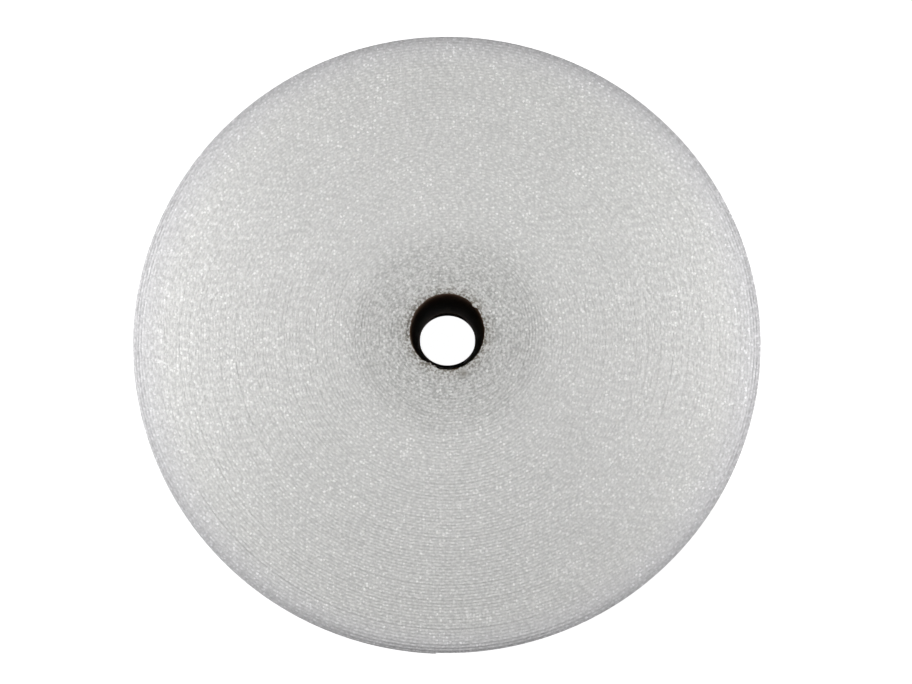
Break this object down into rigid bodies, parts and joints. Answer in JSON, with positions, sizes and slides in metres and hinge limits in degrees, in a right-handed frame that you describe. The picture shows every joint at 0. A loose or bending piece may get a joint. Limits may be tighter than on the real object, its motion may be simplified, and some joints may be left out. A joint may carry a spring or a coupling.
{
  "type": "bubble wrap roll",
  "caption": "Large roll of clear air-bubble cushioning film wound on a paper core, standing on its end, for protecting goods in transit.",
  "frame": {"origin": "on the core's axis, in the plane of the lower end that the roll stands on", "axes": "+Z along the core's axis towards the upper end, +Y towards the side where the turns lie tightest"},
  "size_m": [0.6294, 0.63, 0.5],
  "materials": {
    "core_paper": "plain spiral-wound brown paper",
    "film": "clear polyethylene with air bubbles, milky in the roll"
  },
  "bodies": {
    "root": {"core_tube": "core_paper", "bubble_film": "film"}
  },
  "joints": []
}
